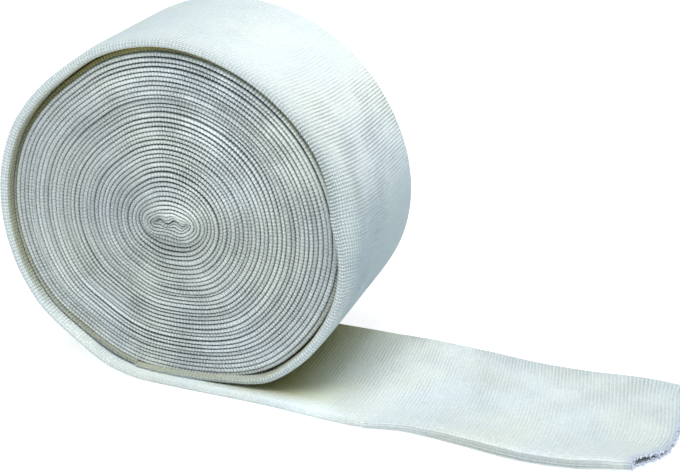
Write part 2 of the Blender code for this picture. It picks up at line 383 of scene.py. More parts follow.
class YarnFinish(bpy.types.PropertyGroup):
    """Colours of the yarn, of the shade and highlights painted on it, and of the paper below."""

    warm: colour("Warm yarn", "Bleached cotton where it is greener", "ECF5EF")
    cool: colour("Cool yarn", "Bleached cotton where it is bluer", "E5F0F3")
    # Painted shade for yarn down between two ribs, and between the stitches behind the near fold
    dip: colour("Dip", "Yarn down between two ribs", "8FA5A9")
    # Painted shade: the bluer grey laid over the side of the last turn and over the loose end
    shade: colour("Shaded side", "Yarn on the smooth side of the last turn", "86A1AE")
    # Painted shade along the lines where two turns press together, and along the pleats
    crease: colour("Crease", "Line where two turns press together", "4A5759")
    # Painted shade: the dark olive laid in gaps beside the last turn, on its inner wall and where
    # the roll shades the loose end
    recess: colour("Recess", "Yarn deep in a gap under the last turn", "8B8952")
    # Painted highlight on single stitches along the near fold
    bright: colour("Stitch", "Single stitches that stand out along the near fold", "FDFEFE")
    cut_white: colour("Cut yarn", "Ends of cotton yarn at the cut", "F4F6FA")
    cut_blue: colour("Cut yarn in shade", "Ends of cotton yarn turned from the light", "9FB0D4")
    paper: colour("Paper", "Background paper", "C4C6C6")


class StudioLight(bpy.types.PropertyGroup):
    """Strengths of the studio's lights."""

    key_strength: strength("Key strength", "The light from above and in front", 2.5)
    soft_strength: strength("Soft strength", "The very broad light from above and the right", 1.2)
    fill_power: FloatProperty(
        name="Fill power",
        description="Power of the light beside the camera",
        default=0.4,
        unit="POWER",
    )
    room_strength: strength("Room strength", "The pale light from all round", 0.2)


def ease(start, end, value):
    """Nothing before start, one after end, and a smooth rise between them."""
    share = np.clip((value - start) / (end - start), 0.0, 1.0)
    return share * share * (3.0 - 2.0 * share)


def bump(centre, reach, value):
    """One at the centre, falling off to nothing over a few reaches."""
    return np.exp(-((value - centre) / reach) ** 2)


def blend(first, second, share):
    return first + (second - first) * share


def resting(height, floor, reach):
    """The height of a soft outline over a floor, eased so that it has no corner."""
    meeting = np.maximum(reach - np.abs(height - floor), 0.0) / reach
    return np.maximum(height, floor) + meeting * meeting * reach / 4.0


def read_table(table, places):
    """Every column of a table after its first, at each place, along a smooth curve."""
    rows = np.array(table)
    rows = rows[np.argsort(rows[:, 0])]
    knots = rows[:, 0]
    index = np.clip(np.searchsorted(knots, places, side="right") - 1, 0, len(rows) - 2)
    share = ((places - knots[index]) / (knots[index + 1] - knots[index]))[:, None]
    start = rows[index]
    end = rows[index + 1]
    leave = (end - rows[np.maximum(index - 1, 0)]) / 2.0
    arrive = (rows[np.minimum(index + 2, len(rows) - 1)] - start) / 2.0
    square = share ** 2
    cube = share ** 3
    values = start * (2.0 * cube - 3.0 * square + 1.0) + end * (3.0 * square - 2.0 * cube)
    values += leave * (cube - 2.0 * square + share) + arrive * (cube - square)
    return values[:, 1:].T


def inner_point(radius, sweep, swell):
    """A point of the inner turns by its nominal radius: round outside, squashed at the core."""
    angle = np.radians(270.0 - sweep)
    outline = FACE_RADIUS + swell
    x = outline * np.cos(angle)
    z = resting(CENTRE_HEIGHT + outline * np.sin(angle), INNER_FLOOR, INNER_BLEND) - CENTRE_HEIGHT
    wide = (radius + CORE_WIDEN * np.exp(-radius / CORE_REACH)) / FACE_RADIUS
    flat = 1.0 - CORE_FLATTEN * np.exp(-(radius / (1.5 * CORE_REACH)) ** 2)
    below = bump(-100.0, 22.0, (np.degrees(angle) + 180.0) % 360.0 - 180.0)
    dent = CORE_DENT * below * bump(7.0, 4.0, radius)
    x = x * wide
    wave = CORE_WAVE * bump(0.0, 4.5, radius) * np.cos(2.0 * math.pi * (x + 4.8) / 6.4)
    return x, z * flat * radius / FACE_RADIUS + dent + wave + CENTRE_HEIGHT


def last_point(sweep, swell):
    """A point of the last turn's outer side, which slips in over the loose end as it closes."""
    angle = np.radians(270.0 - sweep)
    floor = STRIP_THICKNESS * ease(270.0, 330.0, sweep)
    x = ROLL_RADIUS * np.cos(angle)
    z = resting(CENTRE_HEIGHT + ROLL_RADIUS * np.sin(angle), floor, STRIP_BLEND)
    inner_x, inner_z = inner_point(np.full_like(sweep, FIRST_RADIUS), sweep, swell)
    slip = ease(300.0, JOIN_SWEEP, sweep)
    return blend(x, inner_x, slip), blend(z, inner_z, slip), 1.0 - slip


def face_relief(radius, angle):
    """How far the wound face lies behind its foremost plane at a radius and an angle."""
    angle = angle % 360.0
    relief = 2.0 * bump(48.5, 4.5, radius) * ease(5.0, 40.0, angle) * ease(170.0, 130.0, angle)
    relief += 1.2 * bump(38.0, 9.0, radius) * ease(170.0, 220.0, angle) * ease(320.0, 280.0, angle)
    relief += 0.9 * bump(12.4, 1.5, radius) * ease(150.0, 210.0, angle) * ease(360.0, 320.0, angle)
    return relief + CORE_DEPTH * bump(0.0, 5.0, radius) - 0.5 * bump(7.5, 3.5, radius)


def every_rib(travel, columns, rib_pitch):
    """Read the columns again at even steps along the travel, a fixed number for each rib."""
    step = rib_pitch / STATIONS_A_RIB
    count = int(travel[-1] / step) + 1
    places = np.arange(count) * step
    stations = {name: np.interp(places, travel, column) for name, column in columns.items()}
    stations["course"] = places / rib_pitch
    return places, stations


def travelled(x, z):
    return np.concatenate(([0.0], np.cumsum(np.hypot(np.diff(x), np.diff(z)))))


def filled(columns):
    """All columns of some stations, with zeros in those that aren't stated."""
    none = 0.0 * columns["near_x"]
    names = (*STATION_PLACES, *STATION_SIZES, *STATION_SHAPE, *STATION_LOOK, "rim")
    return {name: none + columns.get(name, 0.0) for name in names}


def loose_end_and_last_turn(rib_pitch):
    """Stations of the tube from its cut end, along the floor and once round the roll.

    Each ease() runs between two places on the loose end, in millimetres from under the axis, or
    between two sweeps of the last turn, in degrees.
    """
    ends = np.arange(LOOSE_END[0][0], 0.0, -1.0)
    edge_near, edge_far, bead_near, middle, bead_far, lift, pleat = read_table(LOOSE_END, ends)
    flat = filled({
        "near_x": ends, "far_x": ends, "near_z": lift, "far_z": lift * 0.35,
        "near_y": edge_near, "far_y": edge_far, "near_bead": bead_near, "middle": middle,
        "far_bead": bead_far, "pleat": pleat, "in_z": 1.0, "side": -1.0, "clear": 1.0,
        "near_round": NEAR_CORNER * ease(160.0, 199.0, ends),
        "far_round": FAR_CORNER * ease(165.0, 198.0, ends),
        # Painted olive shade where the roll shades the loose end, from about 8 to 92 mm
        "groove": ease(92.0, 34.0, ends) * ease(8.0, 24.0, ends),
        # Painted bluer shade, most towards the cut
        "skew": -4.5 * ease(10.0, 150.0, ends), "cast": 0.2 * ease(125.0, 190.0, ends) + 0.05,
        "tone": read_table(LOOSE_END_PAINTED_LIGHT, ends)[0], "ribbing_near": 0.25, "ribbing_far": 0.7,
        "cut": ease(195.0, 199.0, ends),
    })
    sweep = np.arange(0.0, JOIN_SWEEP + 0.25, 0.5)
    swell_near, swell_far = read_table(SWELL, sweep)
    near_x, near_z, kept = last_point(sweep, swell_near)
    far_x, far_z, kept = last_point(sweep, swell_far)
    run_x = np.gradient((near_x + far_x) / 2.0)
    run_z = np.gradient((near_z + far_z) / 2.0)
    run = np.hypot(run_x, run_z)
    in_x = run_z / run
    in_z = -run_x / run
    edge_near, edge_far, bead_near, middle, bead_far = read_table(LAST_TURN, sweep)
    ribbing_near, ribbing_far = read_table(OUTER_RIBBING, sweep)
    round_roll = filled({
        "near_x": near_x - in_x * swell_near * kept, "far_x": far_x - in_x * swell_far * kept,
        "near_z": near_z - in_z * swell_near * kept, "far_z": far_z - in_z * swell_far * kept,
        "near_y": edge_near, "far_y": edge_far, "near_bead": bead_near, "middle": middle,
        "far_bead": bead_far, "in_x": in_x, "in_z": in_z, "side": -1.0,
        # Painted crease shade comes in as the last turn closes
        "pressed": 0.3 * ease(330.0, JOIN_SWEEP, sweep),
        "tight": 0.4 * ease(335.0, JOIN_SWEEP, sweep), "droop": read_table(DROOP, sweep)[0],
        "wound": ease(40.0, 75.0, sweep) - ease(320.0, 350.0, sweep),
        # Painted olive shade comes in as the last turn closes
        "groove": 0.5 * ease(300.0, 350.0, sweep),
        # Painted bluer shade by the sweep; the yarn is also darker near the floor under the axis
        "cast": read_table(PAINTED_BLUE_SHADE_BY_SWEEP, sweep)[0], "tone": -0.4 * ease(60.0, 0.0, sweep),
        "ribbing_near": ribbing_near, "ribbing_far": ribbing_far,
    })
    columns = {name: np.concatenate((flat[name], round_roll[name])) for name in flat}
    mean_x = (columns["near_x"] + columns["far_x"]) / 2.0
    mean_z = (columns["near_z"] + columns["far_z"]) / 2.0
    travel, stations = every_rib(travelled(mean_x, mean_z), columns, rib_pitch)
    for height in ("near_z", "far_z"):
        stations[height] = np.maximum(stations[height], 0.0)
    return stations, travel[-1]


def with_mouth(stations, rib_pitch):
    """Put the open pocket's stations before the outside ones, from its bottom to its rim."""
    count = int(MOUTH_DEPTH / rib_pitch * STATIONS_A_RIB)
    wall = CLOTH_THICKNESS
    pocket = {name: column[:count][::-1].copy() for name, column in stations.items()}
    for edge in ("near", "far"):
        pocket[f"{edge}_bead"] = np.maximum(
            pocket[f"{edge}_bead"] - 2.0 * wall, THINNEST_MOUTH)
        pocket[f"{edge}_x"] += pocket["in_x"] * wall
        pocket[f"{edge}_z"] += pocket["in_z"] * wall
    pocket["near_y"] += wall
    pocket["far_y"] -= wall
    pocket["middle"] -= 2.0 * wall
    pocket["pleat"] *= 0.0
    pocket["pressed"] += 1.0
    # The inside of the pocket gets painted olive shade
    pocket["groove"] += 0.5
    pocket["rim"][-1] = 1.0
    stations["rim"][0] = 1.0
    return {name: np.concatenate((pocket[name], stations[name])) for name in stations}


def turn_radius(turns, turn_pitch):
    """The nominal radius after so many inner turns: round ones outside, a spiral further in."""
    whole = np.floor(turns)
    part = turns - whole
    late = ease(0.72, 1.0, part)
    return FIRST_RADIUS - turn_pitch * (whole + blend(part, late, np.exp(-whole / 2.5)))


def uneven(sweep, seed, every):
    """A smooth run of chance along the winding, between about -1 and 1."""
    chance = np.random.default_rng(seed)
    knots = np.arange(sweep[0] - every, sweep[-1] + 2.0 * every, every)
    values = chance.uniform(-1.0, 1.0, len(knots))
    return read_table(np.column_stack((knots, values)), sweep)[0]


def face_tone_and_shade(radius, angle):
    """How much lighter or darker the wound face is at a radius and an angle, partly painted shade
    along its recessed valleys.
    """
    tone = 0.0 * radius
    for place, towards, reach, spread, amount in FACE_TONES_AND_SHADE:
        turned = (angle - towards + 180.0) % 360.0 - 180.0
        tone += amount * bump(place, reach, radius) * bump(0.0, spread, turned)
    return tone


def inner_turns(rib_pitch, turn_pitch, slack, seed):
    """Stations of the tube from the end of its last turn inwards to the core.

    Each ease() of the sweep runs between two places of the winding, in degrees, 360 to a turn.
    """
    turn_count = (FIRST_RADIUS - LAST_RADIUS) / turn_pitch
    whole = np.arange(JOIN_SWEEP, JOIN_SWEEP + 360.0 * (turn_count + 1.0), SWEEP_STEP)
    radii = turn_radius((whole - JOIN_SWEEP) / 360.0, turn_pitch)
    shifted = uneven(whole, seed + 4, 97.0) + 0.6 * uneven(whole, seed + 5, 43.0)
    last_sweep = GROOVE_RECESS[-1][0]
    radii += UNEVEN_TURNS * shifted * ease(FACE_SWEEP, last_sweep, whole) * ease(3.0, 9.0, radii)
    ahead = int(360.0 / SWEEP_STEP)
    count = len(whole) - ahead
    sweep = whole[:count]
    radius = radii[:count]
    bead = radius - radii[ahead:ahead + count] - TURN_GAP
    bead = np.clip(bead, THINNEST_TURN, np.maximum(radius * 0.9, THINNEST_TURN))
    swell_near, swell_far = read_table(SWELL, sweep % 360.0)
    near_x, near_z = inner_point(radius, sweep, swell_near)
    far_x, far_z = inner_point(radius, sweep, swell_far)
    deep_x, deep_z = inner_point(radius - bead, sweep, (swell_near + swell_far) / 2.0)
    in_x = (deep_x - (near_x + far_x) / 2.0) / bead
    in_z = (deep_z - (near_z + far_z) / 2.0) / bead
    relief = face_relief(radius, 270.0 - sweep)
    inside = ease(FACE_SWEEP, 800.0, sweep)
    recess_near, recess_far = read_table(GROOVE_RECESS, np.minimum(sweep, last_sweep))
    start = FLAT_WIDTH / 2.0 - FACE_INSET
    near_y = -(start - recess_near) + relief * inside
    far_y = start - recess_far - relief * inside
    # Turns stand before or behind each other, less so in the gap and at the core
    loose = slack * (0.35 + 0.65 * inside) * ease(2.0, 12.0, radius)
    near_y += loose * (uneven(sweep, seed, 83.0) + 0.5 * uneven(sweep, seed + 1, 31.0))
    far_y += loose * (uneven(sweep, seed + 2, 83.0) + 0.5 * uneven(sweep, seed + 3, 31.0))
    angle = (270.0 - sweep) % 360.0
    beads, crease_shade_by_angle, tone = read_table(FACE_CONTRAST, angle)
    quiet = 1.0 - 0.5 * bump(0.0, 9.0, radius)
    # Painted olive shade in the gap is strongest over the top, and the turns beside it there get
    # less painted crease shade
    groove = 0.5 + 0.45 * ease(400.0, 480.0, sweep) - 0.8 * ease(590.0, 680.0, sweep)
    beside_gap = ease(850.0, 890.0, sweep) * ease(1040.0, 1000.0, sweep)
    columns = filled({
        "near_x": near_x, "far_x": far_x, "near_z": near_z, "far_z": far_z,
        "near_y": near_y, "far_y": far_y, "near_bead": bead, "middle": bead, "far_bead": bead,
        "in_x": in_x, "in_z": in_z, "ribbing_near": beads * quiet, "ribbing_far": beads * quiet,
        "pressed": 0.3 + 0.7 * ease(JOIN_SWEEP, 440.0, sweep),
        # Painted crease shade, weaker beside the gap
        "tight": crease_shade_by_angle * quiet * (0.8 + 0.35 * uneven(sweep, seed + 6, 120.0))
        * (0.4 + 0.6 * ease(JOIN_SWEEP, 440.0, sweep)) * (1.0 - 0.75 * beside_gap),
        "side": 2.0 * ease(450.0, 510.0, sweep) - 1.0,
        # Tone by chance, with painted light and shade over the face and by the angle round it
        "tone": 0.5 * uneven(sweep, seed + 7, 75.0) + face_tone_and_shade(radius, angle)
        + tone * ease(380.0, 430.0, sweep),
        "groove": groove - 0.15 * ease(700.0, 740.0, sweep),
    })
    travel, stations = every_rib(travelled(near_x, near_z), columns, rib_pitch)
    return stations, travel[-1]


def section_points(quarter_steps, side_steps, stitch_pitch, leaning):
    """The flattened tube's section as columns of numbers, once round from the near edge's tip.

    They hold the share across, how far a point stands out past the side's end, how far it has risen
    from the outer side to the inner, how much it belongs to the near and to the far edge, how deep
    it lies in the crease between two turns, which sets the painted crease shade, the pleats of the
    folded edge, and how close it is to the near fold. Then come its place round the tube in
    stitches, how many ribs the knit leans there, whether it lies on the inner side, where the last
    turn's wall gets painted shade, and how much it follows each rounded corner.
    """
    rows = []

    def edge(share, turn):
        out = -math.cos(turn) if share == 0.0 else math.sin(turn)
        rise = 0.5 - 0.5 * math.sin(turn) if share == 0.0 else 0.5 - 0.5 * math.cos(turn)
        crease = (2.0 * rise - 1.0) ** 2
        pleat = 0.0
        if share == 0.0:
            pleat = -math.exp(-((rise - 0.66) / 0.1) ** 2) - math.exp(-((rise - 0.33) / 0.1) ** 2)
        fold = 1.0 - share if leaning else 0.0
        rows.append([share, out, rise, 1.0 - share, share, crease, pleat, fold])

    def side(rise):
        for step in range(side_steps + 1):
            share = 0.5 - 0.5 * math.cos(math.pi * step / side_steps)
            if rise > 0.5:
                share = 1.0 - share
            near = math.exp(-(share / 0.17) ** 2)
            far = math.exp(-((1.0 - share) / 0.12) ** 2)
            fold = math.exp(-(share / 0.075) ** 2) if leaning else 0.0
            rows.append([share, 0.0, rise, near, far, 1.0, 0.0, fold])

    for step in range(quarter_steps):
        edge(0.0, 0.5 * math.pi * step / quarter_steps)
    side(0.0)
    for step in range(1, 2 * quarter_steps):
        edge(1.0, 0.5 * math.pi * step / quarter_steps)
    side(1.0)
    for step in range(quarter_steps - 1, 0, -1):
        edge(0.0, -0.5 * math.pi * step / quarter_steps)
    if leaning:
        edge(0.0, -0.004)
    names = ("share", "out", "rise", "near_part", "far_part", "crease", "pleat_wave", "fold_part")
    columns = dict(zip(names, np.array(rows).T))
    share, out, rise = columns["share"], columns["out"], columns["rise"]
    across = share * (FLAT_WIDTH - EDGE_THICKNESS) + out * EDGE_THICKNESS / 2.0
    slant = np.where(rise <= 0.5, 3.0, -1.0) if leaning else 0.0
    columns["stitch"] = travelled(across, rise * EDGE_THICKNESS) / stitch_pitch
    columns["lean"] = np.maximum(1.0 - share / 0.6, 0.0) ** 2 * slant
    columns["under"] = ease(0.8, 1.0, rise) if leaning else 0.0 * rise
    columns["near_curve"] = np.exp(-((share / 0.16) ** 1.5))
    columns["far_curve"] = np.exp(-(((1.0 - share) / 0.12) ** 1.5))
    return columns


def linked(name, data):
    """A new object with its data, in the scene."""
    thing = bpy.data.objects.new(name, data)
    bpy.context.collection.objects.link(thing)
    return thing


def guide(name, points, columns, closed):
    """An object whose mesh is a line through the points and carries the columns on them."""
    mesh = bpy.data.meshes.new(name)
    count = len(points)
    edges = [(index, index + 1) for index in range(count - 1)]
    if closed:
        edges.append((count - 1, 0))
    mesh.from_pydata([tuple(point) for point in points], edges, [])
    for key, column in columns.items():
        if column.ndim == 2:
            layer = mesh.attributes.new(key, "FLOAT_VECTOR", "POINT")
            layer.data.foreach_set("vector", column.astype(np.float32).ravel())
        else:
            layer = mesh.attributes.new(key, "FLOAT", "POINT")
            layer.data.foreach_set("value", column.astype(np.float32))
    return linked(name, mesh)


def path_guide(name, stations):
    """The tube's path as a line along the near edge's inner end, with all that shapes it."""
    near_half = stations["near_bead"] / 2.0
    far_half = stations["far_bead"] / 2.0
    near = np.column_stack((stations["near_x"], stations["near_y"] + near_half, stations["near_z"]))
    far = np.column_stack((stations["far_x"], stations["far_y"] - far_half, stations["far_z"]))
    inward = np.column_stack((stations["in_x"], 0.0 * near_half, stations["in_z"]))
    columns = {"near_place": near * MM, "far_place": far * MM, "inward": inward}
    for key in STATION_SIZES:
        columns[key] = stations[key] * MM
    for key in (*STATION_SHAPE, *STATION_LOOK, "rim"):
        columns[key] = stations[key]
    return guide(name, near * MM, columns, False)


def section_guide(name, columns):
    """The section as a closed line, laid out flat so that its points keep their order."""
    points = np.column_stack((columns["share"], columns["rise"] * 0.1, 0.0 * columns["share"]))
    points[:, 0] += columns["out"] * 0.05
    return guide(name, points * 0.01, columns, True)


def add_node(tree, kind, inputs=None, **settings):
    """Add a node with its settings, and give its inputs values or links from other nodes."""
    node = tree.nodes.new(kind)
    for name, value in settings.items():
        setattr(node, name, value)
    for key, value in (inputs or {}).items():
        if isinstance(value, bpy.types.Node):
            value = value.outputs[0]
        if isinstance(value, bpy.types.NodeSocket):
            tree.links.new(value, node.inputs[key])
        else:
            node.inputs[key].default_value = value
    return node


def new_tree(name, sockets):
    """A Geometry Nodes tree with the named inputs and one geometry out."""
    tree = bpy.data.node_groups.new(name, "GeometryNodeTree")
    tree.interface.new_socket("Geometry", in_out="OUTPUT", socket_type="NodeSocketGeometry")
    for label, kind in sockets:
        tree.interface.new_socket(label, in_out="INPUT", socket_type=kind)
    return tree, tree.nodes.new("NodeGroupInput").outputs, tree.nodes.new("NodeGroupOutput")


def work_out(tree, kind, made, steps):
    """Add a node for each step and keep it by the step's name, for the steps and nodes after it.

    A step is its name, its operation, and what goes in: names of what is made, or numbers. Settings
    of its node may stand at its end.
    """
    for name, operation, *terms in steps:
        settings = terms.pop() if isinstance(terms[-1], dict) else {}
        inputs = {place: made.get(term, term) for place, term in enumerate(terms)}
        made[name] = add_node(tree, kind, inputs, operation=operation, **settings)


def end_tree(tree, result, geometry, material):
    """End a tree with no instances left, smooth faces, and the material."""
    whole = add_node(tree, "GeometryNodeRealizeInstances", {"Geometry": geometry})
    smooth = add_node(tree, "GeometryNodeSetShadeSmooth", {0: whole})
    dressed = add_node(
        tree, "GeometryNodeSetMaterial", {"Geometry": smooth, "Material": material})
    tree.links.new(dressed.outputs[0], result.inputs[0])
    return tree


def knitted_tube_tree():
    """Sweeps the section along the path and ribs its two folded edges."""
    tree, given, result = new_tree("Knitted tube along a path", (
        ("Path", "NodeSocketGeometry"),
        ("Section", "NodeSocketObject"),
        ("Edge roundness", "NodeSocketFloat"),
        ("Edge relief", "NodeSocketFloat"),
        ("Edge recess", "NodeSocketFloat"),
        ("Lump", "NodeSocketFloat"),
        ("Lump scale", "NodeSocketFloat"),
        ("Seed", "NodeSocketFloat"),
        ("Cloth", "NodeSocketMaterial"),
    ))
    path = add_node(tree, "GeometryNodeMeshToCurve", {"Mesh": given["Path"]})
    drawn = add_node(tree, "GeometryNodeObjectInfo", {"Object": given["Section"]})
    loop = add_node(tree, "GeometryNodeMeshToCurve", {"Mesh": drawn.outputs["Geometry"]})
    cloth = add_node(
        tree, "GeometryNodeCurveToMesh",
        {"Curve": path, "Profile Curve": loop, "Fill Caps": True},
    )
    made = {
        "roundness": given["Edge roundness"],
        "relief": given["Edge relief"],
        "recess": given["Edge recess"],
        "lump": given["Lump"],
    }
    for name in (*SECTION_SHAPE, *STATION_SIZES, *STATION_SHAPE):
        made[name] = add_node(tree, "GeometryNodeInputNamedAttribute", {"Name": name})
    for name in ("near_place", "far_place", "inward"):
        made[name] = add_node(
            tree, "GeometryNodeInputNamedAttribute", {"Name": name}, data_type="FLOAT_VECTOR")
    made["chance"] = add_node(
        tree, "ShaderNodeTexNoise",
        {"W": given["Seed"], "Scale": given["Lump scale"], "Detail": 2.0},
        noise_dimensions="4D",
    )
    work_out(tree, "ShaderNodeMath", made, (
        # Between two ribs the dip is 1, on a rib's crest it is 0
        ("phase", "ADD", "course", "lean"),
        ("square", "MULTIPLY", "share", "share"),
        ("phase", "MULTIPLY_ADD", "square", "skew", "phase"),
        ("turn", "MULTIPLY", "phase", FULL_TURN),
        ("wave", "COSINE", "turn"),
        ("dip", "MULTIPLY_ADD", "wave", 0.5, 0.5),
        ("far_ribbing", "SUBTRACT", "ribbing_far", "ribbing_near"),
        ("ribbing", "MULTIPLY_ADD", "far_ribbing", "share", "ribbing_near"),
        ("dip", "MULTIPLY", "dip", "ribbing"),
        # The thickness runs from the near edge's over the middle's to the far edge's
        ("near_more", "SUBTRACT", "near_bead", "middle"),
        ("far_more", "SUBTRACT", "far_bead", "middle"),
        ("thick", "MULTIPLY_ADD", "near_more", "near_part", "middle"),
        ("thick", "MULTIPLY_ADD", "far_more", "far_part", "thick"),
        # The folded edges draw in between the ribs
        ("edge_part", "ADD", "near_part", "far_part"),
        ("shrink", "MULTIPLY", "dip", "edge_part"),
        ("shrink", "MULTIPLY", "shrink", "relief"),
        ("to_middle", "SUBTRACT", 0.5, "rise"),
        ("risen", "MULTIPLY_ADD", "to_middle", "shrink", "rise"),
        ("depth", "MULTIPLY", "risen", "thick"),
        # Pleats run along the puffed edge of the loose end, and their lines are given painted shade
        ("fold", "MULTIPLY", "pleat", "pleat_wave"),
        ("from_middle", "MULTIPLY", "to_middle", -2.0),
        ("depth", "MULTIPLY_ADD", "from_middle", "fold", "depth"),
        ("line", "MULTIPLY", "fold", -3.0 / MM),
        # The hand of the cloth is a little uneven
        ("chance", "SUBTRACT", "chance", 0.5),
        ("depth", "MULTIPLY_ADD", "chance", "lump", "depth"),
        # The near fold of the last turn droops towards the axis
        ("depth", "MULTIPLY_ADD", "droop", "fold_part", "depth"),
        # How far the edge stands out
        ("edge_thick", "SUBTRACT", "far_bead", "near_bead"),
        ("edge_thick", "MULTIPLY_ADD", "edge_thick", "share", "near_bead"),
        ("drawn_back", "MULTIPLY", "dip", "recess"),
        ("reach", "MULTIPLY_ADD", "edge_thick", "roundness", "fold"),
        ("reach", "SUBTRACT", "reach", "drawn_back"),
        ("across", "MULTIPLY", "out", "reach"),
        # The cut end is rounded at its corners
        ("corner", "MULTIPLY", "near_round", "near_curve"),
        ("corner", "MULTIPLY_ADD", "far_round", "far_curve", "corner"),
        ("corner", "MULTIPLY", "corner", -1.0),
    ))
    made["moved"] = add_node(
        tree, "ShaderNodeCombineXYZ", {"X": made["corner"], "Y": made["across"], "Z": 0.0})
    work_out(tree, "ShaderNodeVectorMath", made, (
        ("width", "SUBTRACT", "far_place", "near_place"),
        ("place", "MULTIPLY_ADD", "width", "share", "near_place"),
        ("place", "MULTIPLY_ADD", "inward", "depth", "place"),
        ("place", "ADD", "place", "moved"),
    ))
    cloth = add_node(
        tree, "GeometryNodeSetPosition", {"Geometry": cloth, "Position": made["place"]})
    for name, number in (("rib", "phase"), ("line", "line"), ("ribbing", "ribbing")):
        cloth = add_node(
            tree, "GeometryNodeStoreNamedAttribute",
            {"Geometry": cloth, "Name": name, "Value": made[number]},
            data_type="FLOAT", domain="POINT",
        )
    return end_tree(tree, result, cloth, given["Cloth"])


def yarn_ends_tree():
    """Scatters small loops of cut yarn over the rim of the open end."""
    tree, given, result = new_tree("Yarn ends on a cut rim", (
        ("Cloth", "NodeSocketGeometry"),
        ("Density", "NodeSocketFloat"),
        ("Loop radius", "NodeSocketFloat"),
        ("Yarn radius", "NodeSocketFloat"),
        ("Seed", "NodeSocketInt"),
        ("Yarn", "NodeSocketMaterial"),
    ))
    rim = add_node(tree, "GeometryNodeInputNamedAttribute", {"Name": "rim"})
    off_rim = add_node(tree, "FunctionNodeCompare", {0: rim, 1: 0.99}, operation="LESS_THAN")
    kept = add_node(
        tree, "GeometryNodeDeleteGeometry", {"Geometry": given["Cloth"], "Selection": off_rim},
        domain="FACE",
    )
    spots = add_node(
        tree, "GeometryNodeDistributePointsOnFaces",
        {"Mesh": kept, "Density": given["Density"], "Seed": given["Seed"]},
    )
    arc = add_node(
        tree, "GeometryNodeCurveArc",
        {"Resolution": 7, "Radius": given["Loop radius"], "Sweep Angle": math.radians(210.0)},
    )
    ring = add_node(
        tree, "GeometryNodeCurvePrimitiveCircle",
        {"Resolution": 5, "Radius": given["Yarn radius"]},
    )
    loop = add_node(
        tree, "GeometryNodeCurveToMesh",
        {"Curve": arc, "Profile Curve": ring, "Fill Caps": True},
    )
    turned = add_node(
        tree, "FunctionNodeRandomValue",
        {0: (0.0,) * 3, 1: (6.28,) * 3, "Seed": given["Seed"]},
        data_type="FLOAT_VECTOR",
    )
    sized = add_node(
        tree, "FunctionNodeRandomValue",
        {2: 0.55, 3: 1.25, "Seed": given["Seed"]},
        data_type="FLOAT",
    )
    placed = add_node(
        tree, "GeometryNodeInstanceOnPoints",
        {"Points": spots, "Instance": loop, "Rotation": turned, "Scale": sized.outputs[1]},
    )
    return end_tree(tree, result, placed, given["Yarn"])


def baked(thing, tree, values, keep):
    """Run a tree on an object and leave its result as the object's own plain mesh."""
    modifier = thing.modifiers.new("shape", "NODES")
    modifier.node_group = tree
    for item in tree.interface.items_tree:
        if item.in_out == "INPUT" and item.name in values:
            modifier[item.identifier] = values[item.name]
    graph = bpy.context.evaluated_depsgraph_get()
    mesh = bpy.data.meshes.new_from_object(thing.evaluated_get(graph))
    if not mesh.polygons:
        raise RuntimeError(f"{thing.name}: the tree made no faces")
    thing.modifiers.clear()
    thing.data = mesh
    mesh.name = thing.name
    kept = (*keep, "sharp_edge", "sharp_face", "material_index", "UVMap")
    for name in [layer.name for layer in mesh.attributes]:
        layer = mesh.attributes.get(name)
        if layer and not (layer.is_required or layer.is_internal or name in kept):
            mesh.attributes.remove(layer)
    if signed_volume(mesh) < 0.0:
        mesh.flip_normals()
    return thing


def signed_volume(mesh):
    mesh.calc_loop_triangles()
    corners = np.empty(len(mesh.loop_triangles) * 3, dtype=np.int32)
    mesh.loop_triangles.foreach_get("vertices", corners)
    places = np.empty(len(mesh.vertices) * 3, dtype=np.float32)
    mesh.vertices.foreach_get("co", places)
    first, second, third = places.reshape(-1, 3)[corners].reshape(-1, 3, 3).transpose(1, 0, 2)
    return float((first * np.cross(second, third)).sum() / 6.0)


def new_material(name, values):
    """A material, its tree and its shader, with the numbers that are the same all over it."""
    material = bpy.data.materials.new(name)
    material.use_nodes = True
    shader = material.node_tree.nodes["Principled BSDF"]
    for socket, value in values.items():
        shader.inputs[socket].default_value = value
    return material, material.node_tree, shader


